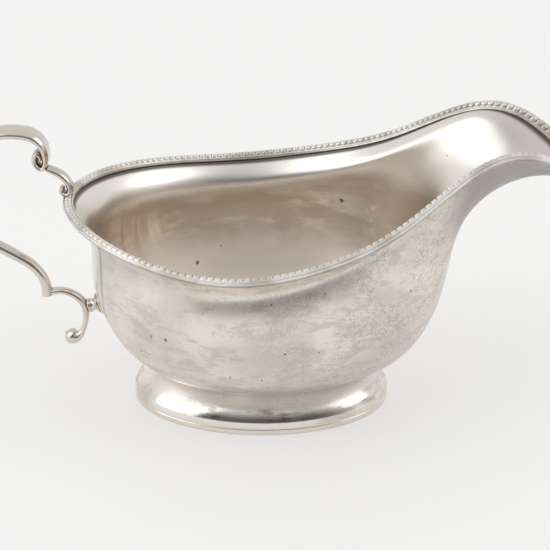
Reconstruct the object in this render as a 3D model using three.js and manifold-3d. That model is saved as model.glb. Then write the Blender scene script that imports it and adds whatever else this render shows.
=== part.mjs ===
// Silver sauce boat: a raised bowl with a long drooping spout, a beaded border soldered along its lip,
// an oval foot on a flat wire, and a cast scroll handle held by a bracket scroll at the rim and a boss
// on the wall.  Millimetres, +Z up.  The origin is the centre of the foot on the table, the spout
// points along +X and the handle along -X.  The boat is symmetric about the XZ plane.
import * as THREE from "three";
import { mergeVertices } from "three/addons/utils/BufferGeometryUtils.js";
import Module from "manifold-3d";

// ---- driving dimensions ----
const WALL = 0.85; // raised sheet of the bowl
const SOLDER_GAP = 0.25; // clearance left where two pieces are soldered together
const AROUND = 64; // facets around the bowl and foot; the border has twice as many
const DOWN = 3; // facets between two control rows of the bowl
const SLOPE_STEP = 0.004; // step along a surface or line when its direction is measured

// Centre line of the beads, from the spout tip round to the handle: control points of one half.
const RIM_HALF = [
  [101.5, 0, 67],
  [78.5, 17.5, 88.5],
  [60.5, 22.5, 87.5],
  [40, 35, 71],
  [19.5, 43.5, 64],
  [-5.5, 46.5, 59.5],
  [-28.5, 39.5, 61.5],
  [-48.5, 24.5, 64.5],
  [-59.5, 0, 66],
];
const LIP_DROP = 2.6; // from the bead centres down to the outer corner of the bowl's lip
const LIP_FLARE = { side: 4.3, spout: 17.5 }; // how far the lip turns out
const LIP_DEPTH = { side: 4.4, spout: -5.0 }; // how far down the turn starts
const SPOUT_FOCUS = { flare: 7, depth: 10 }; // how closely each keeps to the tip
const MOUTH_CENTRE_X = 4; // the lip flares away from this point

// Plan ovals that shape the body, from the shoulder down: reach to the front and rear, half width, height,
// and how much higher the front of the oval is.
const BODY_OVALS = [
  { front: 59, rear: 50.5, half: 42.2, z: 50, rise: 14.5 },
  { front: 57, rear: 52, half: 43.5, z: 41.7, rise: 0.8 },
  { front: 52.5, rear: 47.5, half: 38, z: 26, rise: 0 },
  { front: 42, rear: 38.5, half: 28, z: 13, rise: 0 },
  { front: 21, rear: 21, half: 13.5, z: 11.3, rise: 0 },
];
const BOTTOM = [1, 0, 10.8];

// Section of the border: its strip hangs lower outside the lip than inside it.
const BORDER = { halfWidth: 1.5, beadRadius: 0.8, filletDrop: 0.3, innerBase: 1.25, outerBase: 1.8 };

// How far the face of the border leans in towards the mouth, in radians, and the x between which this grows.
const BORDER_LEAN = { side: 0.32, spout: 0.65, from: -15, to: 45 };

const FOOT = { length: 32, width: 19, wall: 0.9, topSpread: 0.2 }; // half axes of the oval at the bowl
const RING = { spread: 6.9, inset: 2.6, height: 1.65, ease: 0.35 }; // flat wire under the foot
// Outer profile of the foot as [spread outward from that oval, height], below its upper edge.
const FOOT_PROFILE = [
  [1.2, 10.2], [2.7, 9.0], [4.1, 7.8], [5.25, 6.6], [6.1, 5.4], [6.6, 4.2], [6.8, 3.0],
  [6.75, RING.height + SOLDER_GAP],
];

// Handle scrolls in the XZ plane.  Each station is [x, z, width across, thickness].
const MAIN_SCROLL = [
  [-63.4, 77.7, 3.6, 1.1],
  [-64.3, 78.6, 4.0, 1.2],
  [-65.0, 76.9, 4.4, 1.3],
  [-64.5, 74.9, 4.8, 1.4],
  [-63.0, 74.1, 5.2, 1.5],
  [-61.9, 75.6, 5.6, 1.8],
  [-61.7, 78.5, 6.2, 2.3],
  [-62.7, 81.7, 6.8, 2.8],
  [-65.2, 84.0, 7.2, 3.1],
  [-69.2, 84.9, 7.3, 3.2],
  [-76.5, 84.4, 7.1, 3.2],
  [-84.8, 81.1, 6.6, 3.2],
  [-91.2, 75.2, 6.0, 3.1],
  [-94.05, 67.8, 5.4, 3.1],
  [-92.2, 60.6, 5.0, 3.0],
  [-87.6, 55.0, 4.6, 3.0],
  [-82.2, 51.3, 4.3, 2.9],
  [-77.2, 48.4, 4.1, 2.9],
  [-71.5, 45.0, 3.9, 2.8],
  [-67.8, 42.2, 3.8, 2.7],
  [-65.4, 39.0, 3.8, 2.6],
  [-64.4, 35.8, 3.9, 2.8],
  [-64.3, 32.8, 4.0, 3.2],
];
const RIM_SCROLL = [
  [-60.9, 73.5, 3.8, 1.5],
  [-58.9, 72.6, 3.9, 1.6],
  [-57.0, 71.2, 3.9, 1.6],
  [-55.7, 69.4, 3.8, 1.6],
  [-55.3, 67.6, 3.7, 1.4],
  [-55.7, 66.4, 3.5, 1.2],
  [-56.7, 65.9, 3.3, 1.0],
  [-57.6, 66.7, 3.1, 0.9],
  [-57.3, 67.8, 3.0, 0.8],
];
const LOWER_SCROLL = [
  [-62.0, 33.9, 3.0, 1.8],
  [-59.7, 34.1, 3.0, 1.8],
  [-57.2, 33.4, 3.1, 1.9],
  [-54.9, 31.9, 3.2, 2.1],
  [-53.3, 29.7, 3.2, 2.1],
  [-52.8, 26.7, 3.0, 1.8],
  [-53.3, 23.4, 2.9, 1.6],
  [-54.3, 20.6, 3.0, 1.8],
  [-55.7, 18.9, 3.8, 3.0],
  [-57.3, 18.8, 4.6, 4.6],
  [-58.7, 19.5, 3.4, 3.2],
];
const OUTER_SHARE = 0.58; // share of a scroll's thickness on its rounder, outer side
const TIP_DOME = 0.3; // how far a scroll's end is domed, as a share of its thickness
const SCROLL_FACETS = 3; // rings between two stations
const SCROLL_ROUND = 10; // points around a scroll's section

// Stepped boss on the rear wall, turned about its own axis: [radius, distance from the wall].
const BOSS = { x: -47.35, z: 30.8, tilt: 0.31, facets: 32 };
const BOSS_PROFILE = [
  [0, 0], [4.0, 0], [4.0, 0.9], [3.6, 1.4], [3.1, 1.5], [3.1, 2.0],
  [2.7, 2.4], [2.2, 2.7], [1.9, 3.3], [2.0, 4.1], [0, 4.1],
];

// ---- curves ----
// Weights of the four control points of a uniform cubic B-spline span at t in 0..1.
function spanWeights(t) {
  const s = 1 - t;
  return [s ** 3 / 6, (3 * t ** 3 - 6 * t ** 2 + 4) / 6, (3 * s ** 3 - 6 * s ** 2 + 4) / 6, t ** 3 / 6];
}

function blend(points, weights) {
  const sum = new THREE.Vector3();
  points.forEach((point, i) => sum.addScaledVector(point, weights[i]));
  return sum;
}

// Point of a closed B-spline, at u in 0..1 once around.
function closedSpline(points, u) {
  const n = points.length;
  const at = ((u % 1) + 1) % 1 * n;
  const i = Math.floor(at);
  const four = [-1, 0, 1, 2].map((k) => points[(i + k + n) % n]);
  return blend(four, spanWeights(at - i));
}

// A half outline, tip to handle, completed by its mirror image across the XZ plane.
function mirrored(half) {
  const near = half.map(([x, y, z]) => new THREE.Vector3(x, y, z));
  const far = near.slice(1, -1).reverse().map((p) => new THREE.Vector3(p.x, -p.y, p.z));
  return [...near, ...far];
}

// ---- bowl surface ----
const RIM = mirrored(RIM_HALF);
const COLUMNS = RIM.length;

function ovalRow({ front, rear, half, z, rise }) {
  return RIM.map((_, k) => {
    const angle = (2 * Math.PI * k) / COLUMNS;
    const c = Math.cos(angle);
    const reach = c > 0 ? front : rear;
    return new THREE.Vector3(reach * c, half * Math.sin(angle), z + rise * Math.max(0, c));
  });
}

// The row just inside the lip: it turns in a little at the sides and a long way under the spout.
function lipRow(edge) {
  return edge.map((p, k) => {
    const forward = Math.max(0, Math.cos((2 * Math.PI * k) / COLUMNS));
    const inward = new THREE.Vector3(MOUTH_CENTRE_X - p.x, -p.y, 0).normalize();
    const flare = THREE.MathUtils.lerp(LIP_FLARE.side, LIP_FLARE.spout, forward ** SPOUT_FOCUS.flare);
    const turned = p.clone().addScaledVector(inward, flare);
    turned.z -= THREE.MathUtils.lerp(LIP_DEPTH.side, LIP_DEPTH.spout, forward ** SPOUT_FOCUS.depth);
    return turned;
  });
}

// The level direction across a closed line that runs along, and the direction square to both.
function acrossAndUp(along) {
  const across = new THREE.Vector3(along.y, -along.x, 0).normalize();
  return [across, across.clone().cross(along).normalize()];
}

function bowlRows() {
  const edge = RIM.map((p, k) => {
    const ahead = RIM[(k + 1) % COLUMNS];
    const behind = RIM[(k + COLUMNS - 1) % COLUMNS];
    const [, up] = acrossAndUp(ahead.clone().sub(behind));
    return p.clone().addScaledVector(up, -LIP_DROP);
  });
  const centre = RIM.map(() => new THREE.Vector3(...BOTTOM));
  return [edge, lipRow(edge), ...BODY_OVALS.map(ovalRow), centre];
}

const ROWS = bowlRows();
const SPANS = ROWS.length - 1;

// Outer surface of the bowl: u once around, v from 0 at the lip to SPANS at the bottom centre.
function bowlOuter(u, v) {
  const i = Math.min(Math.floor(v), SPANS - 1);
  const row = (k) => {
    if (k < 0) {
      const beyond = closedSpline(ROWS[0], u).multiplyScalar(2);
      return beyond.sub(closedSpline(ROWS[1], u));
    }
    return k > SPANS ? closedSpline(ROWS[SPANS - 1], u + 0.5) : closedSpline(ROWS[k], u);
  };
  return blend([row(i - 1), row(i), row(i + 1), row(i + 2)], spanWeights(v - i));
}

// Outward unit normal of that surface; it is measured just short of the ends, where the surface stops.
function bowlNormal(u, v) {
  const near = THREE.MathUtils.clamp(v, SLOPE_STEP, SPANS - 4 * SLOPE_STEP);
  const along = bowlOuter(u + SLOPE_STEP, near).sub(bowlOuter(u - SLOPE_STEP, near));
  const down = bowlOuter(u, near + SLOPE_STEP).sub(bowlOuter(u, near - SLOPE_STEP));
  return down.cross(along).normalize();
}

function bowlInner(u, v) {
  return bowlOuter(u, v).addScaledVector(bowlNormal(u, v), -WALL);
}

// Height of the bowl's underside where direction u crosses the oval on which the foot meets it.
function undersideHeight(u) {
  let outside = SPANS - 3;
  let inside = SPANS;
  while (inside - outside > SLOPE_STEP) {
    const middle = (outside + inside) / 2;
    const p = bowlOuter(u, middle);
    if ((p.x / FOOT.length) ** 2 + (p.y / FOOT.width) ** 2 > 1) outside = middle;
    else inside = middle;
  }
  return bowlOuter(u, outside).z;
}

// ---- mesh builders ----
function geometryFrom(points, triangles) {
  const geometry = new THREE.BufferGeometry();
  const position = new Float32Array(points.flatMap((p) => [p.x, p.y, p.z]));
  geometry.setAttribute("position", new THREE.BufferAttribute(position, 3));
  geometry.setIndex(triangles);
  geometry.computeVertexNormals();
  return geometry;
}

// Band of triangles between two rings of count points, which start at indices first and second.
function stitch(triangles, first, second, count) {
  for (let i = 0; i < count; i += 1) {
    const j = (i + 1) % count;
    triangles.push(first + i, second + i, second + j, first + i, second + j, first + j);
  }
}

// Ring sections carried once around a loop, first section joined to the last.
function loopSolid(sections) {
  const count = sections[0].length;
  const triangles = [];
  sections.forEach((_, i) => {
    stitch(triangles, ((i + 1) % sections.length) * count, i * count, count);
  });
  return geometryFrom(sections.flat(), triangles);
}

// Sections carried along an open path, with a domed point closing each end.
function barSolid(sections, startTip, endTip) {
  const count = sections[0].length;
  const points = [...sections.flat(), startTip, endTip];
  const triangles = [];
  for (let i = 0; i + 1 < sections.length; i += 1) {
    stitch(triangles, i * count, (i + 1) * count, count);
  }
  const start = points.length - 2;
  const lastRing = (sections.length - 1) * count;
  for (let i = 0; i < count; i += 1) {
    const j = (i + 1) % count;
    triangles.push(start, i, j);
    triangles.push(start + 1, lastRing + j, lastRing + i);
  }
  return geometryFrom(points, triangles);
}

// ---- booleans ----
const manifold = await Module();
manifold.setup();

function toSolid(geometry) {
  const bare = geometry.clone();
  bare.deleteAttribute("normal");
  bare.deleteAttribute("uv");
  const merged = mergeVertices(bare);
  const vertProperties = merged.attributes.position.array;
  const triVerts = Uint32Array.from(merged.index.array);
  return new manifold.Manifold(new manifold.Mesh({ numProp: 3, vertProperties, triVerts }));
}

function cutAway(geometry, tool) {
  const result = toSolid(geometry).subtract(toSolid(tool)).getMesh();
  const cut = new THREE.BufferGeometry();
  cut.setAttribute("position", new THREE.BufferAttribute(result.vertProperties, 3));
  cut.setIndex(new THREE.BufferAttribute(result.triVerts, 1));
  cut.computeVertexNormals();
  return cut;
}

// ---- bowl ----
// The two skins of the sheet, joined along the lip and each closed by a point at the bottom centre.
function bowlGeometry() {
  const points = [];
  const triangles = [];
  const rings = SPANS * DOWN;
  const addSkin = (surface) => {
    const first = points.length;
    for (let r = 0; r < rings; r += 1) {
      for (let i = 0; i < AROUND; i += 1) points.push(surface(i / AROUND, r / DOWN));
    }
    return first;
  };
  const outer = addSkin(bowlOuter);
  const inner = addSkin(bowlInner);
  const outerPole = points.push(bowlOuter(0, SPANS)) - 1;
  const innerPole = points.push(bowlInner(0, SPANS)) - 1;
  for (let r = 0; r + 1 < rings; r += 1) {
    stitch(triangles, outer + r * AROUND, outer + (r + 1) * AROUND, AROUND);
    stitch(triangles, inner + (r + 1) * AROUND, inner + r * AROUND, AROUND);
  }
  stitch(triangles, inner, outer, AROUND);
  const lastRing = (rings - 1) * AROUND;
  for (let i = 0; i < AROUND; i += 1) {
    const j = (i + 1) % AROUND;
    triangles.push(outer + lastRing + i, outerPole, outer + lastRing + j);
    triangles.push(inner + lastRing + j, innerPole, inner + lastRing + i);
  }
  return geometryFrom(points, triangles);
}

// ---- bead border ----
// Two parts of the border's cross section, as [outward, up]: the face of a flat strip with a round run of
// beading along its middle, and the base under it, which is deeper outside the lip than inside it.
function borderFace() {
  const { halfWidth, beadRadius, filletDrop } = BORDER;
  const arc = [0.25, 0.5, 0.75].map((share) => {
    const angle = Math.PI * (1 - share);
    return [beadRadius * Math.cos(angle), beadRadius * Math.sin(angle)];
  });
  return [
    [-halfWidth, -filletDrop],
    [-beadRadius, -filletDrop],
    ...arc,
    [beadRadius, -filletDrop],
    [halfWidth, -filletDrop],
  ];
}

function borderBase() {
  const { halfWidth, innerBase, outerBase } = BORDER;
  return [[halfWidth, -outerBase], [0.3 * halfWidth, -outerBase], [0, -innerBase], [-halfWidth, -innerBase]];
}

// The level axes of a section turned so that its face leans in towards the mouth.
function leaned([across, up], point) {
  const { side, spout, from, to } = BORDER_LEAN;
  const share = THREE.MathUtils.smoothstep(point.x, from, to);
  const angle = THREE.MathUtils.lerp(side, spout, share) * Math.abs(across.y);
  const turned = (a, b) => a.clone().multiplyScalar(Math.cos(angle)).addScaledVector(b, Math.sin(angle));
  return [turned(across, up), turned(up, across.clone().negate())];
}

function borderGeometry() {
  const face = borderFace();
  const base = borderBase();
  const stations = AROUND * 2;
  const sections = [];
  for (let i = 0; i < stations; i += 1) {
    const u = i / stations;
    const centre = closedSpline(RIM, u);
    const level = acrossAndUp(closedSpline(RIM, u + SLOPE_STEP).sub(closedSpline(RIM, u - SLOPE_STEP)));
    const placed = (points, [across, up]) =>
      points.map(([out, rise]) => centre.clone().addScaledVector(across, out).addScaledVector(up, rise));
    sections.push([...placed(face, leaned(level, centre)), ...placed(base, level)]);
  }
  return loopSolid(sections);
}

// ---- foot ----
// Point in direction u on the oval that stands out from the foot's upper edge by spread.
function footPoint(u, spread, z) {
  const angle = 2 * Math.PI * u;
  const x = (FOOT.length + spread) * Math.cos(angle);
  const y = (FOOT.width + spread) * Math.sin(angle);
  return new THREE.Vector3(x, y, z);
}

// Each point of an open outline moved to its right by a distance.
function offsetOutline(outline, distance) {
  return outline.map(([x, y], i) => {
    const [x0, y0] = outline[Math.max(i - 1, 0)];
    const [x1, y1] = outline[Math.min(i + 1, outline.length - 1)];
    const length = Math.hypot(x1 - x0, y1 - y0);
    return [x + (distance * (y1 - y0)) / length, y - (distance * (x1 - x0)) / length];
  });
}

// Hollow foot: its upper edge follows the underside of the bowl, its lower edge stands on the ring.
function footSection(u) {
  const top = undersideHeight(u) - 1.5 * SOLDER_GAP;
  const outline = [[FOOT.topSpread, top], ...FOOT_PROFILE];
  const inner = offsetOutline(outline, FOOT.wall);
  inner.at(0)[1] = top;
  inner.at(-1)[1] = outline.at(-1)[1];
  return [...outline, ...inner.reverse()].map(([spread, z]) => footPoint(u, spread, z));
}

// Flat wire with its outer edges eased.
function ringSection(u) {
  const { spread, inset, height, ease } = RING;
  const outline = [
    [spread - inset, height],
    [spread - ease, height],
    [spread, height - ease],
    [spread, ease],
    [spread - ease, 0],
    [spread - inset, 0],
  ];
  return outline.map(([out, z]) => footPoint(u, out, z));
}

function ovalLoop(sectionAt) {
  return loopSolid(Array.from({ length: AROUND }, (_, i) => sectionAt(i / AROUND)));
}

// ---- handle ----
// A bar bent in the XZ plane through stations of [x, z, width, thickness], rounder on its outer side.
function scrollGeometry(stations) {
  const places = stations.map(([x, z]) => new THREE.Vector3(x, 0, z));
  const girths = stations.map(([, , width, thick]) => new THREE.Vector3(width, thick, 0));
  const path = new THREE.CatmullRomCurve3(places);
  const sizes = new THREE.CatmullRomCurve3(girths);
  const steps = (stations.length - 1) * SCROLL_FACETS;
  const sections = [];
  for (let i = 0; i <= steps; i += 1) {
    const centre = path.getPoint(i / steps);
    const along = path.getTangent(i / steps);
    const out = new THREE.Vector3(along.z, 0, -along.x);
    const { x: width, y: thick } = sizes.getPoint(i / steps);
    const ring = [];
    for (let k = 0; k < SCROLL_ROUND; k += 1) {
      const angle = (2 * Math.PI * (k + 0.5)) / SCROLL_ROUND;
      const rise = Math.sin(angle);
      const share = rise < 0 ? OUTER_SHARE : 1 - OUTER_SHARE;
      const point = centre.clone().addScaledVector(out, share * thick * rise);
      point.y = 0.5 * width * Math.cos(angle);
      ring.push(point);
    }
    sections.push(ring);
  }
  const tip = (t, way) => {
    const reach = TIP_DOME * way * sizes.getPoint(t).y;
    return path.getPoint(t).addScaledVector(path.getTangent(t), reach);
  };
  return barSolid(sections, tip(0, -1), tip(1, 1));
}

// The space a scroll needs to sit in a neighbour: the scroll with the solder gap added all round.
function scrollSeat(stations) {
  const extra = 2 * SOLDER_GAP;
  return scrollGeometry(stations.map(([x, z, width, thick]) => [x, z, width + extra, thick + extra]));
}

function bossGeometry() {
  const profile = BOSS_PROFILE.map(([radius, out]) => new THREE.Vector2(radius, out + SOLDER_GAP));
  return new THREE.LatheGeometry(profile, BOSS.facets);
}

// ---- parts ----
const silver = { color: 0xcfc8c0, roughness: 0.3, metalness: 1.0 };

function part(name, geometry, look = {}) {
  const mesh = new THREE.Mesh(geometry, new THREE.MeshStandardMaterial({ ...silver, ...look }));
  mesh.name = name;
  return mesh;
}

// The boss is turned about +Y, so it is laid over to point out of the rear wall.
function bossPart() {
  const boss = part("handle_boss", bossGeometry());
  const outOfWall = new THREE.Vector3(-Math.cos(BOSS.tilt), 0, -Math.sin(BOSS.tilt));
  boss.position.set(BOSS.x, 0, BOSS.z);
  boss.quaternion.setFromUnitVectors(new THREE.Vector3(0, 1, 0), outOfWall);
  return boss;
}

const boat = new THREE.Group();
boat.name = "sauce_boat";
boat.add(part("bowl", bowlGeometry()));
boat.add(part("bead_border", cutAway(borderGeometry(), scrollSeat(RIM_SCROLL)), { roughness: 0.35 }));
boat.add(part("foot", ovalLoop(footSection), { roughness: 0.2 }));
boat.add(part("foot_ring", ovalLoop(ringSection), { roughness: 0.25 }));
boat.add(part("handle_main_scroll", scrollGeometry(MAIN_SCROLL)));
boat.add(part("handle_rim_scroll", scrollGeometry(RIM_SCROLL)));
boat.add(part("handle_lower_scroll", scrollGeometry(LOWER_SCROLL)));
boat.add(bossPart());

export default boat;
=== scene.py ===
"""A silver sauce boat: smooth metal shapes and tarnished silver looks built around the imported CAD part.

The shapes follow the same driving dimensions as the CAD part, in millimetres, and become metres as
each mesh is made. The spout points along +X, the handle along -X, and the boat stands on z = 0.
"""

import math

import bpy
import numpy as np
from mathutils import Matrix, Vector


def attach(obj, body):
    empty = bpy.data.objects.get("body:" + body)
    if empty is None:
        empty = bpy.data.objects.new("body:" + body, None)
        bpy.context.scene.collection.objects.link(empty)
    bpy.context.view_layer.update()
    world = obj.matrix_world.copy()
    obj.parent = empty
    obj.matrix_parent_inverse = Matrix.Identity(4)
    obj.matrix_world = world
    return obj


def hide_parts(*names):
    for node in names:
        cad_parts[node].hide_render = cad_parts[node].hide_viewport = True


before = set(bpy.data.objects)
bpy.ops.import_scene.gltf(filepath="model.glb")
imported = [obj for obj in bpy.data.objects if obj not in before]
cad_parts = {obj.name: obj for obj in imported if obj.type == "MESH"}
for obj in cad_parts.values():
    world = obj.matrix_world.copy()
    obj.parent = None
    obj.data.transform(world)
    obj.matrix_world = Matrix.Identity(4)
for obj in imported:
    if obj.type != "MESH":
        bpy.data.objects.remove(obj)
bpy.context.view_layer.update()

MM = 0.001
TAU = 2 * math.pi

# ---- driving dimensions, in millimetres ----
WALL = 0.85  # thickness of the bowl's raised sheet
# Centre line of the beads, from the spout tip round to the handle: control points of one half.
RIM_HALF = [
    (101.5, 0, 67),
    (78.5, 17.5, 88.5),
    (60.5, 22.5, 87.5),
    (40, 35, 71),
    (19.5, 43.5, 64),
    (-5.5, 46.5, 59.5),
    (-28.5, 39.5, 61.5),
    (-48.5, 24.5, 64.5),
    (-59.5, 0, 66),
]
LIP_DROP = 2.1  # from the bead centres down to the outer corner of the lip, which the border covers
LIP_INSET = 0.6  # how far that corner stands in from below the bead centres
# How far the lip turns out and how far down the turn starts: at the sides, under the spout.
LIP_FLARE = (4.3, 17.5)
LIP_DEPTH = (4.4, -5.0)
FLARE_FOCUS = 7  # how closely the spout's own flare keeps to the tip
DEPTH_FOCUS = 10  # the same for its depth
MOUTH_CENTRE_X = 4  # the lip flares away from this point
# Plan ovals of the body: reach to the front, reach to the rear, half width, height, rise of the front.
BODY_OVALS = [
    (59, 50.5, 42.2, 50, 14.5),
    (57, 52, 43.5, 41.7, 0.8),
    (52.5, 47.5, 38, 26, 0),
    (42, 38.5, 28, 13, 0),
    (21, 21, 13.5, 11.3, 0),
]
BOTTOM = (1, 0, 10.8)

BEAD_PITCH = 2.0
BEAD_HALF_WIDTH = 0.88
BEAD_HEIGHT = 0.62
BEAD_SQUARENESS = 3.4  # how blunt a bead is towards its neighbours: 2 is a ball, more is a barrel
BEAD_STATIONS = 14  # mesh rings along one bead
GROOVE_DEPTH = 0.35  # between two beads
BEAD_SINK = GROOVE_DEPTH / 4  # how far the beads are sunk into the border
GROOVE_SHARPNESS = 6  # how closely the groove keeps to the middle of the gap
GAP_SHADE_SHARPNESS = 4  # the same for its painted shade
# Places across a bead where its mesh has points, 1 being its edge, from the outer side inward.
BEAD_PLACES = np.array([0.96, 0.9, 0.8, 0.66, 0.48, 0.25, 0, -0.25, -0.48, -0.66, -0.8, -0.9])
# Border section as (outward, up): its fillet inside the beading, its base and its fillet outside.
INNER_FILLET = [(-0.94, -0.35), (-0.98, -0.12), (-1.1, 0.02), (-1.28, 0.04), (-1.44, -0.08), (-1.54, -0.36)]
BORDER_BASE = [
    (-1.5, -1.25), (-1.2, -1.55), (-0.5, -1.8), (0.3, -1.95), (0.8, -1.85), (1.15, -1.55), (1.35, -1.1),
]
OUTER_FILLET = [
    (1.56, -0.8), (1.52, -0.58), (1.42, -0.47), (1.26, -0.4), (1.1, -0.46), (1.02, -0.56), (0.96, -0.5),
]
# How far the border's face leans in, in radians: at the sides and at the spout.
BORDER_LEAN = (0.32, 0.65)
LEAN_FROM = -15  # x where the lean starts to grow
LEAN_TO = 45
BASE_SHADE = 0.66  # painted shade on the underside of the border, next to 1 in the gaps between beads

FOOT_AXES = (32, 19)  # half axes of the oval where the foot meets the bowl
FOOT_WALL = 0.9
# The foot's upper edge as (spread, height above the bowl's underside), just inside the bowl and below it.
FOOT_JOIN = [(0.0, 0.35), (0.18, -0.1)]
# Outer profile of the foot below the bowl as (spread outward from that oval, height).
FOOT_PROFILE = [
    (0.55, 10.75), (1.3, 10.1), (2.7, 9.0), (4.05, 7.8), (5.2, 6.6), (6.05, 5.4), (6.6, 4.2), (6.82, 3.1),
    (6.8, 2.3), (6.7, 1.8),
]
RING_SPREAD = 6.8  # of the flat wire under the foot, outward from the same oval
RING_INSET = 2.6
RING_HEIGHT = 1.85
RING_EDGE = 0.3  # radius of its round edges

# Handle scrolls in the middle plane: (x, z, width across, thickness).
MAIN_SCROLL = [
    (-63.2, 76.6, 3.4, 1.5),
    (-63.4, 77.7, 3.7, 1.6),
    (-64.3, 78.6, 4.0, 1.7),
    (-65.0, 76.9, 4.4, 1.7),
    (-64.5, 74.9, 4.8, 1.7),
    (-63.0, 74.1, 5.2, 1.7),
    (-61.9, 75.6, 5.6, 1.8),
    (-61.7, 78.5, 6.2, 2.3),
    (-62.7, 81.7, 6.8, 2.8),
    (-65.2, 84.0, 7.2, 3.1),
    (-69.2, 84.9, 7.3, 3.2),
    (-76.5, 84.4, 7.1, 3.2),
    (-84.8, 81.1, 6.6, 3.2),
    (-91.2, 75.2, 6.0, 3.1),
    (-94.0, 67.8, 5.4, 3.1),
    (-92.2, 60.6, 5.0, 3.0),
    (-87.6, 55.0, 4.6, 3.0),
    (-82.2, 51.3, 4.3, 2.9),
    (-77.2, 48.4, 4.1, 2.9),
    (-71.5, 45.0, 3.9, 2.8),
    (-67.8, 42.2, 3.8, 2.7),
    (-65.4, 39.0, 3.8, 2.6),
    (-64.4, 35.8, 3.9, 2.8),
    (-64.3, 32.8, 4.0, 3.2),
]
RIM_SCROLL = [
    (-61.6, 73.9, 3.8, 1.7),
    (-60.9, 73.5, 3.9, 1.8),
    (-58.9, 72.6, 4.1, 2.0),
    (-57.0, 71.2, 4.2, 2.1),
    (-55.7, 69.4, 4.2, 2.1),
    (-55.3, 67.6, 4.1, 1.9),
    (-55.7, 66.4, 4.0, 1.7),
    (-56.7, 65.9, 3.9, 1.6),
    (-57.6, 66.7, 3.8, 1.6),
    (-57.3, 67.8, 3.6, 1.5),
]
LOWER_SCROLL = [
    (-63.0, 33.8, 3.0, 1.8),
    (-62.0, 33.9, 3.0, 1.8),
    (-59.7, 34.1, 3.0, 1.8),
    (-57.2, 33.4, 3.1, 1.9),
    (-54.9, 31.9, 3.2, 2.1),
    (-53.3, 29.7, 3.2, 2.1),
    (-52.8, 26.7, 3.0, 1.8),
    (-53.3, 23.4, 2.9, 1.6),
    (-54.3, 20.6, 3.0, 1.8),
    (-55.7, 18.9, 3.8, 3.0),
    (-57.3, 18.8, 4.6, 4.6),
    (-58.7, 19.5, 3.4, 3.2),
]
BOSS_PLACE = (-47.0, 30.7)  # x and z on the rear wall
BOSS_TILT = 0.31  # how far its axis points down, in radians
# Stepped boss turned about its own axis: (radius, distance from the wall).
BOSS_PROFILE = [
    (0, 0), (3.6, -0.2), (3.95, 0.1), (4.05, 0.7), (3.9, 1.15), (3.5, 1.4), (3.1, 1.45), (2.98, 1.6),
    (3.12, 1.85), (3.05, 2.2), (2.7, 2.45), (2.3, 2.6), (2.05, 2.9), (1.9, 3.4), (2.0, 4.1), (2.3, 4.8),
    (1.7, 5.3), (0, 5.4),
]


# ---- curves and surfaces ----
def span_weights(t):
    """Weights of the four control points of a uniform cubic B-spline span at t in 0..1."""
    s = 1 - t
    return [s**3 / 6, (3 * t**3 - 6 * t**2 + 4) / 6, (3 * s**3 - 6 * s**2 + 4) / 6, t**3 / 6]


def closed_spline(points, u):
    """Points of a closed B-spline at the places u, once around being 0..1."""
    count = len(points)
    at = (np.asarray(u, float) % 1) * count
    first = np.floor(at).astype(int)
    weights = span_weights(at - first)
    return sum(weights[k][:, None] * points[(first + k - 1) % count] for k in range(4))


def natural_spline(stations, steps):
    """A smooth curve through the stations, with so many steps between each two. Any number of columns."""
    knots = np.array(stations, float)
    count = len(knots)
    system = np.eye(count)
    right = np.zeros_like(knots)
    for i in range(1, count - 1):
        system[i, i - 1 : i + 2] = (1, 4, 1)
        right[i] = 6 * (knots[i - 1] - 2 * knots[i] + knots[i + 1])
    bend = np.linalg.solve(system, right)
    t = np.linspace(0, count - 1, (count - 1) * steps + 1)
    i = np.minimum(t.astype(int), count - 2)
    b = (t - i)[:, None]
    a = 1 - b
    return a * knots[i] + b * knots[i + 1] + ((a**3 - a) * bend[i] + (b**3 - b) * bend[i + 1]) / 6


def mirrored(half):
    """A half outline, tip to handle, completed by its mirror image on the other side."""
    near = np.array(half, float)
    far = near[-2:0:-1] * (1, -1, 1)
    return np.concatenate([near, far])


def across_and_up(along):
    """The level direction across each of these directions, and the direction square to both."""
    across = np.stack([along[:, 1], -along[:, 0], np.zeros(len(along))], -1)
    across /= np.linalg.norm(across, axis=1)[:, None]
    up = np.cross(across, along)
    return across, up / np.linalg.norm(up, axis=1)[:, None]


RIM = mirrored(RIM_HALF)
COLUMNS = len(RIM)


def bowl_rows():
    """Control rows of the bowl, from the edge of the lip down to the bottom centre."""
    angle = TAU * np.arange(COLUMNS) / COLUMNS
    across, up = across_and_up(np.roll(RIM, -1, 0) - np.roll(RIM, 1, 0))
    edge = RIM - up * LIP_DROP - across * LIP_INSET
    forward = np.maximum(0, np.cos(angle))
    flare = LIP_FLARE[0] + (LIP_FLARE[1] - LIP_FLARE[0]) * forward**FLARE_FOCUS
    inward = np.array([MOUTH_CENTRE_X, 0]) - edge[:, :2]
    inward /= np.linalg.norm(inward, axis=1)[:, None]
    lip = edge.copy()
    lip[:, :2] += inward * flare[:, None]
    lip[:, 2] -= LIP_DEPTH[0] + (LIP_DEPTH[1] - LIP_DEPTH[0]) * forward**DEPTH_FOCUS
    rows = [edge, lip]
    for front, rear, half, height, rise in BODY_OVALS:
        reach = np.where(forward > 0, front, rear) * np.cos(angle)
        rows.append(np.stack([reach, half * np.sin(angle), height + rise * forward], -1))
    rows.append(np.tile(np.array(BOTTOM, float), (COLUMNS, 1)))
    return rows


ROWS = bowl_rows()
SPANS = len(ROWS) - 1


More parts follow.
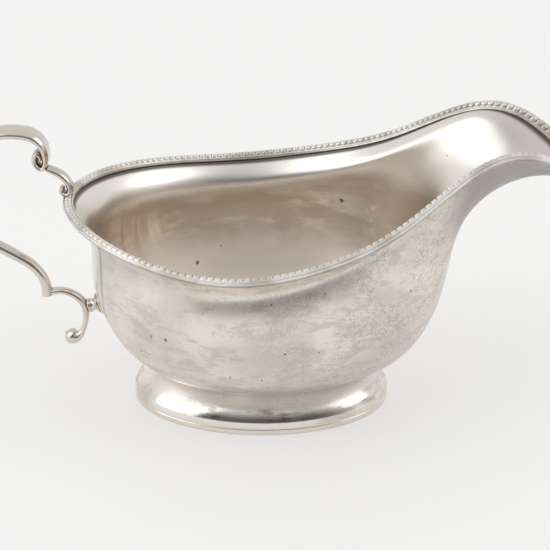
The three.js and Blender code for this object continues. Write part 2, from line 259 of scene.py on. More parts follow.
def bowl_outer(around, down):
    """Grid of points on the outer skin: rings from the lip to the bottom centre, so many points around."""
    u = np.arange(around) / around
    rows = [closed_spline(row, u) for row in ROWS]
    beyond_edge = 2 * rows[0] - rows[1]
    beyond_centre = np.roll(rows[-2], around // 2, axis=0)
    rows = [beyond_edge, *rows, beyond_centre]
    rings = []
    for v in np.linspace(0, SPANS, SPANS * down + 1):
        i = min(int(v), SPANS - 1)
        weights = span_weights(v - i)
        rings.append(sum(weights[k] * rows[i + k] for k in range(4)))
    return np.array(rings)


def grid_normals(grid):
    """Outward unit normals of a grid of rings."""
    along = np.roll(grid, -1, 1) - np.roll(grid, 1, 1)
    down = np.gradient(grid, axis=0)
    normal = np.cross(down, along)
    length = np.linalg.norm(normal, axis=2)
    normal[-1] = (0, 0, -1)
    length[-1] = 1
    return normal / length[:, :, None]


# ---- mesh builders ----
def make_piece(name, points, faces, node, materials, kinds=None, attributes=None):
    """A smooth mesh piece from points in millimetres, which stands for a CAD node and rides on the body."""
    mesh = bpy.data.meshes.new(name)
    mesh.from_pydata((np.asarray(points) * MM).tolist(), [], faces)
    mesh.polygons.foreach_set("use_smooth", [True] * len(mesh.polygons))
    for material in materials:
        mesh.materials.append(material)
    if kinds is not None:
        mesh.polygons.foreach_set("material_index", kinds)
    for key, values in (attributes or {}).items():
        layer = mesh.attributes.new(key, "FLOAT", "POINT")
        layer.data.foreach_set("value", np.asarray(values, np.float32).ravel())
    mesh.update()
    piece = bpy.data.objects.new(name, mesh)
    bpy.context.scene.collection.objects.link(piece)
    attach(piece, "root")
    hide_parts(node)


def band(first, second, count):
    """Quads between two rings of count points that start at these indices."""
    faces = []
    for i in range(count):
        j = (i + 1) % count
        faces.append((first + i, second + i, second + j, first + j))
    return faces


def loop_faces(sections, count):
    """Quads of a section of count points carried once round a loop."""
    faces = []
    for i in range(sections):
        faces += band(((i + 1) % sections) * count, i * count, count)
    return faces


def bar_faces(sections, count):
    """Quads of an open bar, with a fan from the two last points closing its ends."""
    faces = []
    for i in range(sections - 1):
        faces += band(i * count, (i + 1) * count, count)
    start = sections * count
    last = (sections - 1) * count
    for i in range(count):
        j = (i + 1) % count
        faces.append((start, i, j))
        faces.append((start + 1, last + j, last + i))
    return faces


# ---- the bowl ----
BOWL_AROUND = 320
BOWL_DOWN = 14


def build_bowl(outside, inside):
    """The two skins of the sheet, joined along the lip; depth runs from 0 at the lip to 1 at the bottom."""
    outer = bowl_outer(BOWL_AROUND, BOWL_DOWN)
    inner = outer - WALL * grid_normals(outer)
    rings = len(outer) - 1
    skin = rings * BOWL_AROUND
    skins = [outer[:-1].reshape(-1, 3), inner[:-1].reshape(-1, 3)]
    points = np.concatenate([*skins, outer[-1, :1], inner[-1, :1]])
    faces = []
    kinds = []
    for r in range(rings - 1):
        faces += band(r * BOWL_AROUND, (r + 1) * BOWL_AROUND, BOWL_AROUND)
        kinds += [0] * BOWL_AROUND
        faces += band(skin + (r + 1) * BOWL_AROUND, skin + r * BOWL_AROUND, BOWL_AROUND)
        kinds += [1] * BOWL_AROUND
    faces += band(skin, 0, BOWL_AROUND)
    kinds += [0] * BOWL_AROUND
    last = (rings - 1) * BOWL_AROUND
    for i in range(BOWL_AROUND):
        j = (i + 1) % BOWL_AROUND
        faces.append((last + i, 2 * skin, last + j))
        faces.append((skin + last + j, 2 * skin + 1, skin + last + i))
        kinds += [0, 1]
    depth = np.repeat(np.arange(rings) / rings, BOWL_AROUND)
    depth = np.concatenate([depth, depth, [1, 1]])
    metals = [outside, inside]
    make_piece("bowl_shell", points, faces, "bowl", metals, kinds, {"depth": depth})


# ---- the bead border ----
LENGTH_SAMPLES = 8001  # places where the rim's length is measured
SLOPE_STEP = 1e-4


def rim_length():
    """Places along the closed rim line, and the length of the line up to each."""
    u = np.linspace(0, 1, LENGTH_SAMPLES)
    line = closed_spline(RIM, u)
    steps = np.linalg.norm(np.diff(line, axis=0), axis=1)
    return u, np.concatenate([[0], np.cumsum(steps)])


def rim_by_length(count):
    """The rim line at count equally spaced places, with its level and upright directions there."""
    u, length = rim_length()
    places = np.interp(np.arange(count) / count * length[-1], length, u)
    along = closed_spline(RIM, places + SLOPE_STEP) - closed_spline(RIM, places - SLOPE_STEP)
    along /= np.linalg.norm(along, axis=1)[:, None]
    return closed_spline(RIM, places), *across_and_up(along)


def leaned(centre, across, up):
    """The directions across and up turned so that the border's face leans in towards the mouth."""
    share = np.clip((centre[:, 0] - LEAN_FROM) / (LEAN_TO - LEAN_FROM), 0, 1)
    share = share * share * (3 - 2 * share)
    angle = (BORDER_LEAN[0] + (BORDER_LEAN[1] - BORDER_LEAN[0]) * share) * np.abs(across[:, 1])
    cos, sin = np.cos(angle)[:, None], np.sin(angle)[:, None]
    return across * cos + up * sin, up * cos - across * sin


def build_border(metal):
    """The beaded wire; gap_shade, its painted shade, is 0 on a bead, 1 between two beads, and BASE_SHADE on
    the underside.
    """
    _, length = rim_length()
    sections = round(length[-1] / BEAD_PITCH) * BEAD_STATIONS
    centre, across, up = rim_by_length(sections)
    face_across, face_up = leaned(centre, across, up)

    def placed(out, high, level, square):
        return centre[:, None] + out[:, None] * level[:, None] + high[..., None] * square[:, None]

    def run(outline, level, square):
        out, high = np.array(outline).T
        return placed(out, high, level, square)

    from_middle = np.abs((np.arange(sections) / BEAD_STATIONS + 0.5) % 1 - 0.5)[:, None] * 2
    room = np.maximum(0, 1 - from_middle**BEAD_SQUARENESS - BEAD_PLACES**2)
    groove = -GROOVE_DEPTH * from_middle**GROOVE_SHARPNESS
    top = np.maximum(BEAD_HEIGHT * np.sqrt(room) - BEAD_SINK, groove)
    points = np.concatenate([
        run(INNER_FILLET, face_across, face_up),
        run(BORDER_BASE, across, up),
        run(OUTER_FILLET, face_across, face_up),
        placed(BEAD_PLACES * BEAD_HALF_WIDTH, top, face_across, face_up),
    ], axis=1)
    count = points.shape[1]
    gap_shade = np.zeros((sections, count))
    gap_shade[:, len(INNER_FILLET) : len(INNER_FILLET) + len(BORDER_BASE)] = BASE_SHADE
    gap_shade[:, count - len(BEAD_PLACES) :] = from_middle**GAP_SHADE_SHARPNESS * np.sqrt(1 - BEAD_PLACES**2)
    faces = loop_faces(sections, count)
    points = points.reshape(-1, 3)
    make_piece("bead_wire", points, faces, "bead_border", [metal], attributes={"gap_shade": gap_shade})


# ---- the foot ----
FOOT_AROUND = 256
FOOT_STEPS = 4  # points of the outline between two of its profile's points
UNDERSIDE_STEPS = 40  # rings to a span of the bowl where its underside is measured
UNDERSIDE_SPANS = 3  # spans from the bottom centre that reach past the foot


def oval_points(outline_at, around):
    """Sections around the foot's oval; outline_at(i) gives the outline as (spread, height) at station i."""
    sections = []
    for i in range(around):
        outline = outline_at(i)
        c, s = math.cos(TAU * i / around), math.sin(TAU * i / around)
        x = (FOOT_AXES[0] + outline[:, 0]) * c
        y = (FOOT_AXES[1] + outline[:, 0]) * s
        sections.append(np.stack([x, y, outline[:, 1]], -1))
    return np.array(sections)


def underside_heights(around):
    """Height of the bowl's underside on the foot's oval, at each station around."""
    skin = bowl_outer(around, UNDERSIDE_STEPS)[-UNDERSIDE_SPANS * UNDERSIDE_STEPS :]
    inside = (skin[:, :, 0] / FOOT_AXES[0]) ** 2 + (skin[:, :, 1] / FOOT_AXES[1]) ** 2
    return np.array([np.interp(1, inside[::-1, i], skin[::-1, i, 2]) for i in range(around)])


def build_foot(metal):
    """The hollow foot; its upper edge follows the underside of the bowl."""
    top = underside_heights(FOOT_AROUND)

    def outline_at(i):
        join = [(spread, top[i] + above) for spread, above in FOOT_JOIN]
        outer = natural_spline(join + FOOT_PROFILE, FOOT_STEPS)
        run = np.gradient(outer, axis=0)
        run /= np.linalg.norm(run, axis=1)[:, None]
        inner = outer + FOOT_WALL * np.stack([run[:, 1], -run[:, 0]], -1)
        inner[0, 1] = outer[0, 1]
        inner[-1, 1] = outer[-1, 1]
        return np.concatenate([outer, inner[::-1]])

    points = oval_points(outline_at, FOOT_AROUND)
    count = points.shape[1]
    faces = loop_faces(FOOT_AROUND, count)
    make_piece("foot_shell", points.reshape(-1, 3), faces, "foot", [metal])


def rounded_box_outline(low, high, radius, steps=4):
    """A rectangle between two corners, with round corners, run clockwise."""
    corners = [
        (low[0] + radius, high[1] - radius, math.pi),
        (high[0] - radius, high[1] - radius, math.pi / 2),
        (high[0] - radius, low[1] + radius, 0),
        (low[0] + radius, low[1] + radius, -math.pi / 2),
    ]
    outline = []
    for x, y, start in corners:
        for k in range(steps + 1):
            angle = start - math.pi / 2 * k / steps
            outline.append((x + radius * math.cos(angle), y + radius * math.sin(angle)))
    return np.array(outline)


def build_foot_ring(metal):
    """The flat wire that the boat stands on."""
    outline = rounded_box_outline((RING_SPREAD - RING_INSET, 0), (RING_SPREAD, RING_HEIGHT), RING_EDGE)
    points = oval_points(lambda i: outline, FOOT_AROUND)
    count = points.shape[1]
    faces = loop_faces(FOOT_AROUND, count)
    make_piece("foot_wire", points.reshape(-1, 3), faces, "foot_ring", [metal])


# ---- the handle ----
SCROLL_STEPS = 12
OUTER_SHARE = 0.58  # share of a scroll's thickness on its domed, outer side
ARRIS = 0.06  # angle left between the dome and each edge, in radians
DOME_POINTS = 15
DOME_FULLNESS = 0.9  # below 1 the dome is squarer than an arc
TIP_DOME = 0.3  # how far a scroll's end stands out, as a share of its thickness
BOSS_AROUND = 48
BOSS_STEPS = 3


def scroll_section():
    """Unit section of a scroll as (across, out): domed outside, an arris at each edge, a bevelled back."""
    angles = np.linspace(ARRIS, math.pi - ARRIS, DOME_POINTS)
    dome = [(math.cos(a), OUTER_SHARE * math.sin(a) ** DOME_FULLNESS) for a in angles]
    inner = 1 - OUTER_SHARE
    back = [(-0.99, -0.05), (-0.9, -0.4 * inner), (-0.72, -0.88 * inner), (-0.6, -inner), (-0.3, -inner)]
    return np.array(dome + back + [(0, -inner)] + [(-a, b) for a, b in back[::-1]])


def build_scroll(name, stations, node, metal):
    """A bar bent in the middle plane through its stations, with a blunt point closing each end."""
    line = natural_spline(stations, SCROLL_STEPS)
    along = np.gradient(line[:, :2], axis=0)
    along /= np.linalg.norm(along, axis=1)[:, None]
    out = np.stack([-along[:, 1], along[:, 0]], -1)
    section = scroll_section()
    count = len(section)
    sections = []
    for (x, z, width, thick), (ox, oz) in zip(line, out):
        reach = section[:, 1] * thick
        sections.append(np.stack([x + ox * reach, section[:, 0] * width / 2, z + oz * reach], -1))
    ends = []
    for i, way in ((0, -1), (-1, 1)):
        reach = TIP_DOME * line[i, 3] * way
        ends.append([line[i, 0] + along[i, 0] * reach, 0, line[i, 1] + along[i, 1] * reach])
    points = np.concatenate([np.concatenate(sections), ends])
    faces = bar_faces(len(line), count)
    make_piece(name, points, faces, node, [metal])


def build_boss(metal):
    """The stepped boss, turned about an axis that points out of the rear wall and a little down."""
    axis = np.array([-math.cos(BOSS_TILT), 0, -math.sin(BOSS_TILT)])
    side = np.array([0, 1, 0])
    rise = np.cross(axis, side)
    origin = np.array([BOSS_PLACE[0], 0, BOSS_PLACE[1]])
    angle = TAU * np.arange(BOSS_AROUND) / BOSS_AROUND
    circle = np.cos(angle)[:, None] * side + np.sin(angle)[:, None] * rise
    profile = natural_spline(BOSS_PROFILE[1:-1], BOSS_STEPS)
    rings = [origin + height * axis + radius * circle for radius, height in profile]
    ends = [origin, origin + BOSS_PROFILE[-1][1] * axis]
    points = np.concatenate([*rings, ends])
    faces = bar_faces(len(rings), BOSS_AROUND)
    make_piece("handle_boss_disc", points, faces, "handle_boss", [metal])


# ---- materials ----
class Nodes:
    """Short names for building a node material."""

    def __init__(self, owner):
        owner.use_nodes = True
        self.tree = owner.node_tree
        self.shader = self.tree.nodes.get("Principled BSDF")
        self.where = self.add("ShaderNodeTexCoord").outputs["Object"]

    def add(self, kind, inputs=None, **settings):
        node = self.tree.nodes.new(kind)
        for key, value in settings.items():
            setattr(node, key, value)
        for key, value in (inputs or {}).items():
            self.put(node.inputs[key], value)
        return node

    def put(self, socket, value):
        if isinstance(value, bpy.types.NodeSocket):
            self.tree.links.new(value, socket)
        else:
            socket.default_value = value

    def set(self, key, value):
        self.put(self.shader.inputs[key], value)

    def noise(self, scale, detail=3, roughness=0.5, distortion=0, where=None):
        inputs = {
            "Vector": where or self.where,
            "Scale": scale,
            "Detail": detail,
            "Roughness": roughness,
            "Distortion": distortion,
        }
        return self.add("ShaderNodeTexNoise", inputs).outputs["Fac"]

    def stretched(self, scale, turn=(0, 0, 0)):
        mapping = self.add("ShaderNodeMapping", {"Vector": self.where, "Scale": scale, "Rotation": turn})
        return mapping.outputs["Vector"]

    def ramp(self, value, low, high, to_low=0.0, to_high=1.0):
        """A smooth change from to_low, where the value is at most low, to to_high, from high on."""
        inputs = {"Value": value, "From Min": low, "From Max": high, "To Min": to_low, "To Max": to_high}
        return self.add("ShaderNodeMapRange", inputs, interpolation_type="SMOOTHSTEP").outputs["Result"]

    def math(self, operation, a, b=0.0):
        return self.add("ShaderNodeMath", {0: a, 1: b}, operation=operation).outputs[0]

    def times(self, a, b):
        return self.math("MULTIPLY", a, b)

    def mix(self, share, first, second):
        node = self.add("ShaderNodeMix", data_type="RGBA")
        self.put(node.inputs[0], share)
        self.put(node.inputs[6], first)
        self.put(node.inputs[7], second)
        return node.outputs[2]

    def stain(self, tone, share, strength, colour):
        """The tone with a colour laid over it, at most at this strength."""
        return self.mix(self.times(share, strength), tone, colour)

    def window(self, value, rising, falling):
        """1 between two edges, each given as (where it starts, where it ends), and 0 outside them."""
        return self.times(self.ramp(value, *rising), self.ramp(value, *falling, 1, 0))

    def along(self, axis, vector=None):
        """One coordinate of a vector, or else of the place on the object in metres."""
        return self.add("ShaderNodeSeparateXYZ", {"Vector": vector or self.where}).outputs[axis]

    def attribute(self, name):
        return self.add("ShaderNodeAttribute", attribute_name=name).outputs["Fac"]

    def bump(self, height, strength, distance):
        inputs = {"Height": height, "Strength": strength, "Distance": distance}
        return self.add("ShaderNodeBump", inputs).outputs["Normal"]


# Silver, clean and under different tarnish, with some tones also laid as painted shade, light and
# reflection. CAST is the handle's metal.
BRIGHT = (0.86, 0.83, 0.785, 1)
SATIN_AND_PAINTED_LIGHT = (0.93, 0.885, 0.855, 1)
IVORY = (0.93, 0.86, 0.78, 1)
CREAM = (0.88, 0.82, 0.745, 1)
SAND = (0.87, 0.79, 0.70, 1)
BUFF = (0.80, 0.735, 0.65, 1)
ASH = (0.72, 0.67, 0.61, 1)
CAST = (0.72, 0.66, 0.60, 1)
CLOUD = (0.64, 0.59, 0.535, 1)
LILAC = (0.60, 0.565, 0.555, 1)
CAST_CLOUD = (0.60, 0.54, 0.48, 1)
GREY = (0.58, 0.53, 0.475, 1)
BROWN = (0.54, 0.46, 0.39, 1)
SHOULDER_SHADE_BROWN = (0.50, 0.43, 0.37, 1)
FLECK_BROWN = (0.50, 0.42, 0.35, 1)
UMBER = (0.47, 0.41, 0.36, 1)
RUST = (0.45, 0.345, 0.25, 1)
TAUPE = (0.42, 0.355, 0.295, 1)
SLATE = (0.36, 0.33, 0.31, 1)
SHADE_AND_TARNISH_DARK = (0.16, 0.125, 0.09, 1)
DARK = (0.07, 0.06, 0.05, 1)

# Places on the boat, in metres, as (where a change of look starts, where it is complete).
REAR_POLISH_ENDS = (-0.05, -0.043)  # x, going forward from the polished rear wall
HANDLE_REFLECTION_STARTS = (-0.0457, -0.0452)  # x of a painted dark reflection of the handle, a line beside that wall
HANDLE_REFLECTION_ENDS = (-0.045, -0.0445)
BUSY_STARTS = (-0.03, 0.04)  # x, where scratches become more frequent
SPOUT_STARTS = (0.03, 0.05)  # x
SPOUT_ABOVE = (0.035, 0.055)  # z
REAR_STAIN_ENDS = (-0.045, -0.022)  # x, inside
AHEAD_STAIN_STARTS = (0.018, 0.034)  # x, inside
SPOUT_CLEAN_STARTS = (0.02, 0.06)  # x, where the clean lip grows deeper towards the spout
TONGUE_SHADE_STARTS = (0.056, 0.074)  # x, the end of the spout inside, painted darker as a dim reflection
NECK_STARTS = (0.0055, 0.0085)  # z on the foot
SMUDGE_AND_SHADE_STARTS = (0.0035, 0.005)  # z on the foot, lower edge of the band of smudges and painted dark reflection
SMUDGE_AND_SHADE_ENDS = (0.0065, 0.0085)
WIRE_ENDS = (0.0019, 0.0026)  # z, the top of the flat wire

# The same inside the bowl, as shares of the way from the lip to the bottom centre.
# just under the lip's edge: painted shade with tarnish
LIP_SHADE_AND_TARNISH_ENDS = (0.02, 0.045)
BELLY_STARTS = (0.2, 0.27)
# where the painted shade band at the top of the belly fades out
SHOULDER_SHADE_ENDS = (0.28, 0.42)
BOTTOM_STARTS = (0.4, 0.56)


def fine_scratches(n, strength):
    """Hairlines in two crossing directions."""
    one = n.noise(1.0, 2, 0.6, where=n.stretched((900, 900, 9000), (0.3, 0.2, 0.1)))
    two = n.noise(1.0, 2, 0.6, where=n.stretched((9000, 700, 900), (0.9, 0.5, 0.4)))
    return n.bump(n.math("ADD", one, two), strength, 0.00004)


def scribble(n, scale, width, distortion):
    """Thin wandering lines, where a noise crosses its middle value."""
    off = n.math("ABSOLUTE", n.math("SUBTRACT", n.noise(scale, 2, 0.55, distortion), 0.5))
    return n.ramp(off, 0, width, 1, 0)


def wander(n, noise, reach):
    """A shift that follows a noise, as much down as up."""
    return n.times(n.math("SUBTRACT", noise, 0.5), reach)


def crevice_shade_and_tarnish(n, reach):
    """1 in corners closed in within this many metres, 0 on open surfaces; it lays painted shade together
    with tarnish.
    """
    node = n.add("ShaderNodeAmbientOcclusion", {"Distance": reach}, samples=8)
    return n.ramp(node.outputs["AO"], 0.35, 0.8, 1, 0)


def outside_tarnish(n, cloud):
    """Clouds, streaky patches, scratches and pits."""
    patch = n.ramp(n.noise(110, 7, 0.72, 0.3, n.stretched((1, 1, 2.4))), 0.49, 0.58)
    violet = n.ramp(n.noise(22, 3, 0.5), 0.42, 0.62)
    busy = n.times(n.ramp(n.along("X"), *BUSY_STARTS, 0.12, 1), n.ramp(n.noise(70, 3), 0.38, 0.55))
    dark_lines = n.times(scribble(n, 420, 0.06, 1.5), busy)
    light_lines = n.times(scribble(n, 520, 0.045, 1.8), busy)
    pits = n.ramp(n.noise(420, 2, 0.5), 0.73, 0.75)
    tone = n.mix(cloud, CREAM, ASH)
    tone = n.stain(tone, patch, 0.6, GREY)
    tone = n.stain(tone, violet, 0.45, LILAC)
    tone = n.stain(tone, dark_lines, 0.6, TAUPE)
    tone = n.stain(tone, light_lines, 0.8, BRIGHT)
    return n.stain(tone, pits, 0.8, DARK)


def spout_underside_shade(n):
    """1 where the skin of the spout faces down, where painted shade is laid."""
    normal = n.add("ShaderNodeNewGeometry").outputs["Normal"]
    downward = n.ramp(n.along("Z", normal), -0.4, -0.05, 1, 0)
    spout = n.times(n.ramp(n.along("X"), *SPOUT_STARTS), n.ramp(n.along("Z"), *SPOUT_ABOVE))
    return n.times(downward, spout)


def outside_silver():
    """The outside of the bowl: tarnished all over, but for its polished rear wall, with a painted
    reflection of the handle beside that wall and painted shade under the spout.
    """
    material = bpy.data.materials.new("tarnished_silver_outside")
    n = Nodes(material)
    cloud = n.ramp(n.noise(46, 6, 0.62, 0.4), 0.36, 0.66)
    wobble = wander(n, n.noise(60, 4, 0.6), 0.006)
    tarnished = n.ramp(n.math("ADD", n.along("X"), wobble), *REAR_POLISH_ENDS)
    tone = n.mix(tarnished, BRIGHT, outside_tarnish(n, cloud))
    # painted reflection of the handle: a dark line beside the polished wall
    tone = n.stain(tone, n.window(n.along("X"), HANDLE_REFLECTION_STARTS, HANDLE_REFLECTION_ENDS), 0.4, DARK)
    # painted shade on the spout's underside
    tone = n.stain(tone, spout_underside_shade(n), 0.85, SLATE)
    n.set("Base Color", tone)
    n.set("Metallic", n.ramp(tarnished, 0, 1, 1, 0.8))
    n.set("Roughness", n.times(n.ramp(tarnished, 0, 1, 0.5, 1), n.ramp(cloud, 0, 1, 0.36, 0.46)))
    n.set("Normal", fine_scratches(n, 0.3))
    return material


def inside_stains_and_shade(n, depth):
    """Brown patches, flecks and streaks of the belly, darkest behind and ahead, and a band of painted shade
    just under the lip.
    """
    patches = n.ramp(n.noise(52, 6, 0.68, 0.2, n.stretched((0.8, 0.8, 2.2))), 0.42, 0.58)
    flecks = n.ramp(n.noise(190, 5, 0.7, 0.2, n.stretched((0.7, 0.7, 1.6))), 0.5, 0.6)
    stripes = n.ramp(n.noise(1, 3, 0.6, where=n.stretched((60, 150, 12))), 0.42, 0.6)
    rear = n.ramp(n.along("X"), *REAR_STAIN_ENDS, 1, 0)
    ahead = n.times(n.ramp(n.along("X"), *AHEAD_STAIN_STARTS), n.ramp(n.noise(80, 5, 0.65), 0.4, 0.5))
    tone = n.mix(patches, SAND, BROWN)
    tone = n.stain(tone, flecks, 0.4, FLECK_BROWN)
    tone = n.stain(tone, rear, n.ramp(stripes, 0, 1, 0.25, 0.9), RUST)
    tone = n.stain(tone, ahead, 0.7, UMBER)
    # painted shade: a darker band at the top of the belly
    return n.mix(n.ramp(depth, *SHOULDER_SHADE_ENDS, 0.68, 0), tone, SHOULDER_SHADE_BROWN)


def inside_silver():
    """The inside of the bowl: a clean lip and spout, a brown belly and a pale bottom, with painted shade
    and tarnish in a line under the lip's edge, a painted shade band at the top of the belly, and a painted
    dim reflection at the end of the spout.
    """
    material = bpy.data.materials.new("tarnished_silver_inside")
    n = Nodes(material)
    edge = n.attribute("depth")
    ragged = n.math("ADD", edge, wander(n, n.noise(34, 5, 0.6, 0.3), 0.1))
    depth = n.math("SUBTRACT", ragged, n.ramp(n.along("X"), *SPOUT_CLEAN_STARTS, 0, 0.1))
    belly = n.ramp(depth, *BELLY_STARTS)
    bottom = n.ramp(depth, *BOTTOM_STARTS)
    tone = n.mix(belly, BRIGHT, inside_stains_and_shade(n, depth))
    tone = n.mix(bottom, tone, IVORY)
    tone = n.stain(tone, n.ramp(n.noise(230, 1, 0.5), 0.77, 0.785), 0.8, DARK)
    # painted reflection: the spout's end inside darkened as a dim reflection
    tone = n.stain(tone, n.ramp(n.along("X"), *TONGUE_SHADE_STARTS), 0.7, LILAC)
    # painted shade with tarnish in a line just under the lip's edge
    tone = n.stain(tone, n.ramp(edge, *LIP_SHADE_AND_TARNISH_ENDS, 1, 0), 0.9, DARK)
    n.set("Base Color", tone)
    n.set("Metallic", n.math("SUBTRACT", n.ramp(belly, 0, 1, 1, 0.85), n.times(bottom, 0.45)))
    n.set("Roughness", n.ramp(belly, 0, 1, 0.32, 0.25))
    n.set("Normal", fine_scratches(n, 0.2))
    return material


def border_silver():
    """The beaded wire: bright on the beads, with painted shade between them and under the wire."""
    material = bpy.data.materials.new("beaded_silver")
    n = Nodes(material)
    tone = n.mix(n.ramp(n.noise(90, 4), 0.4, 0.6), BRIGHT, CLOUD)
    # painted shade between the beads and under the wire
    tone = n.mix(n.ramp(n.attribute("gap_shade"), 0.45, 0.85, 0, 0.85), tone, DARK)
    # painted shade with tarnish in the wire's corners
    tone = n.stain(tone, crevice_shade_and_tarnish(n, 0.001), 0.3, DARK)
    n.set("Base Color", tone)
    n.set("Metallic", 0.8)
    n.set("Roughness", n.ramp(n.noise(300, 3), 0.3, 0.7, 0.34, 0.48))
    return material


def foot_silver():
    """The foot: a satin neck, also painted lighter as painted light, a polished slope with smudges and a
    painted dark reflection round its middle, and a duller flat wire.
    """
    material = bpy.data.materials.new("polished_silver_foot")
    n = Nodes(material)
    height = n.along("Z")
    cloud = n.ramp(n.noise(60, 5, 0.6, 0.4), 0.4, 0.7)
    neck = n.ramp(height, *NECK_STARTS)
    smudge = n.ramp(n.noise(170, 6, 0.7, 0.2, n.stretched((0.6, 0.6, 2.5))), 0.5, 0.62)
    tone = n.mix(cloud, BRIGHT, CLOUD)
    # painted light: the upper foot lightened, besides its satin finish
    tone = n.stain(tone, neck, 0.8, SATIN_AND_PAINTED_LIGHT)
    # smudges, partly a painted dark reflection round the foot's middle
    tone = n.stain(tone, n.times(smudge, n.window(height, SMUDGE_AND_SHADE_STARTS, SMUDGE_AND_SHADE_ENDS)), 0.85, TAUPE)
    tone = n.mix(n.ramp(height, *WIRE_ENDS, 0.7, 0), tone, BUFF)
    # painted shade with tarnish where the foot meets the bowl and its wire
    tone = n.stain(tone, crevice_shade_and_tarnish(n, 0.001), 0.4, DARK)
    n.set("Base Color", tone)
    n.set("Metallic", n.ramp(neck, 0, 1, 1, 0.45))
    n.set("Roughness", n.math("ADD", n.ramp(cloud, 0, 1, 0.12, 0.19), n.times(neck, 0.12)))
    n.set("Normal", fine_scratches(n, 0.15))
    return material


def handle_silver():
    """The cast handle, with painted shade and tarnish where its scrolls close in."""
    material = bpy.data.materials.new("cast_silver_handle")
    n = Nodes(material)
    cloud = n.ramp(n.noise(70, 5, 0.6, 0.4), 0.4, 0.7)
    # painted shade with tarnish where the scrolls close in
    tone = n.stain(n.mix(cloud, CAST, CAST_CLOUD), crevice_shade_and_tarnish(n, 0.004), 0.6, SHADE_AND_TARNISH_DARK)
    n.set("Base Color", tone)
    n.set("Metallic", 1.0)
    n.set("Roughness", n.ramp(cloud, 0, 1, 0.2, 0.3))
    n.set("Normal", fine_scratches(n, 0.2))
    return material


# ---- studio ----
PALE = (0.86, 0.86, 0.855, 1)
TABLE_GREYS = [(0.50, 0.50, 0.50, 1), (0.52, 0.52, 0.52, 1)]
FLOOR_RADIUS = 2.0
FLOOR_AROUND = 96
FLOOR_FADE = (0.7, 1.9)
FLOOR_GLOW = 0.44  # light coming through the table, which keeps the shadows faint
FLOOR_FRONT = (-0.5, -0.28)  # the table's front edge, fading out towards the viewer
LIGHT_TARGET = Vector((0, 0, 0.04))


def studio_floor():
    """A pale table that fades into the background."""
    mesh = bpy.data.meshes.new("studio_floor")
    angles = [TAU * i / FLOOR_AROUND for i in range(FLOOR_AROUND)]
    ring = [(FLOOR_RADIUS * math.cos(a), FLOOR_RADIUS * math.sin(a), 0) for a in angles]
    mesh.from_pydata(ring, [], [tuple(range(FLOOR_AROUND))])
    floor = bpy.data.objects.new("studio_floor", mesh)
    bpy.context.scene.collection.objects.link(floor)
    material = bpy.data.materials.new("pale_table")
    n = Nodes(material)
    n.set("Base Color", n.mix(n.noise(3, 2), *TABLE_GREYS))
    n.set("Emission Color", (1, 1, 1, 1))
    n.set("Emission Strength", FLOOR_GLOW)
    n.set("Roughness", 0.7)
    distance = n.add("ShaderNodeVectorMath", {0: n.where}, operation="LENGTH").outputs["Value"]
    n.set("Alpha", n.times(n.ramp(distance, *FLOOR_FADE, 1, 0), n.ramp(n.along("Y"), *FLOOR_FRONT)))
    mesh.materials.append(material)


# Brightness of the surround over the Z of a direction, as (from, to, brightness below, brightness above).
SURROUND_BEHIND = (-0.1, 0.7, 0.85, 0.79)
SURROUND_BEFORE = (0.3, 0.85, 0.12, 0.5)
BEFORE_ENDS = (-0.8, -0.3)  # Y of a direction, where the part in front of the boat gives way to the other
SURROUND_TINT = (1.0, 0.99, 0.975, 1)


def studio_world():
    """Soft surround, darker in front and darkest low down there; plain pale where the camera sees it."""
    world = bpy.data.worlds.new("studio_world")
    bpy.context.scene.world = world
    n = Nodes(world)
    direction = n.add("ShaderNodeTexCoord").outputs["Generated"]
    parts = n.add("ShaderNodeSeparateXYZ", {"Vector": direction}).outputs
    behind = n.ramp(parts["Z"], *SURROUND_BEHIND)
    before = n.ramp(parts["Z"], *SURROUND_BEFORE)
    facing = n.ramp(parts["Y"], *BEFORE_ENDS, 1, 0)
    away = n.math("SUBTRACT", 1.0, facing)
    strength = n.math("ADD", n.times(before, facing), n.times(behind, away))
    surround = n.add("ShaderNodeBackground", {"Color": SURROUND_TINT, "Strength": strength})
    plain = n.add("ShaderNodeBackground", {"Color": PALE})
    camera_ray = n.add("ShaderNodeLightPath").outputs["Is Camera Ray"]
    mix = n.add("ShaderNodeMixShader", {0: camera_ray, 1: surround.outputs[0], 2: plain.outputs[0]})
    n.put(n.tree.nodes["World Output"].inputs["Surface"], mix.outputs[0])


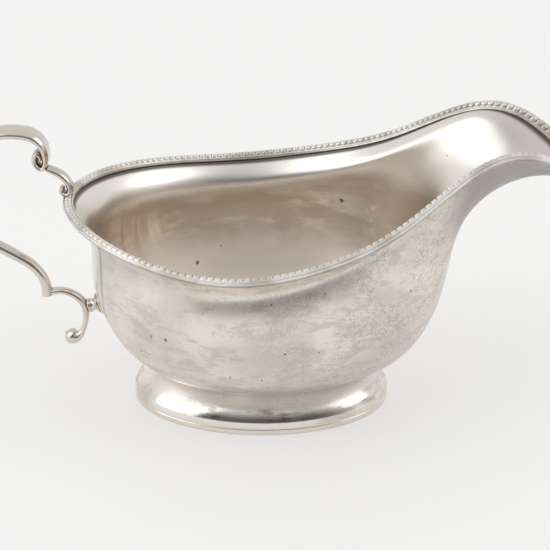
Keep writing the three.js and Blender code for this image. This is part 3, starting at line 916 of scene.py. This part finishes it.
def soft_light(name, place, size, power):
    """A rectangular light of this size in metres, turned to the middle of the boat."""
    data = bpy.data.lights.new(name, "AREA")
    data.shape = "RECTANGLE"
    data.size, data.size_y = size
    data.energy = power
    light = bpy.data.objects.new(name, data)
    light.location = place
    light.visible_camera = False
    light.rotation_mode = "QUATERNION"
    light.rotation_quaternion = (LIGHT_TARGET - Vector(place)).to_track_quat("-Z", "Y")
    bpy.context.scene.collection.objects.link(light)


# The photograph's viewpoint, in metres and radians, with the lens in millimetres.
CAMERA_TARGET = Vector((0.0043, 0, 0.0400))
CAMERA_ELEVATION = math.radians(26.55)
CAMERA_AZIMUTH = math.radians(1.29)
CAMERA_DISTANCE = 0.4716
CAMERA_LENS = 103.65


def photograph_camera():
    """A camera at the photograph's viewpoint."""
    data = bpy.data.cameras.new("camera")
    data.lens = CAMERA_LENS
    camera = bpy.data.objects.new("camera", data)
    level = math.cos(CAMERA_ELEVATION)
    back = Vector((
        math.sin(CAMERA_AZIMUTH) * level, -math.cos(CAMERA_AZIMUTH) * level, math.sin(CAMERA_ELEVATION)
    ))
    camera.location = CAMERA_TARGET + back * CAMERA_DISTANCE
    camera.rotation_mode = "QUATERNION"
    camera.rotation_quaternion = (-back).to_track_quat("-Z", "Y")
    bpy.context.scene.collection.objects.link(camera)
    bpy.context.scene.camera = camera


# ---- the object ----
build_bowl(outside_silver(), inside_silver())
build_border(border_silver())
foot_metal = foot_silver()
build_foot(foot_metal)
build_foot_ring(foot_metal)
handle_metal = handle_silver()
build_scroll("main_scroll", MAIN_SCROLL, "handle_main_scroll", handle_metal)
build_scroll("rim_scroll", RIM_SCROLL, "handle_rim_scroll", handle_metal)
build_scroll("lower_scroll", LOWER_SCROLL, "handle_lower_scroll", handle_metal)
build_boss(handle_metal)

studio_floor()
studio_world()
soft_light("light_left", (-0.75, -0.42, 0.5), (0.75, 1.1), 2.9)
soft_light("light_right", (0.72, -0.18, 0.55), (0.45, 0.5), 1.2)
photograph_camera()
bpy.context.scene.view_settings.view_transform = "Standard"
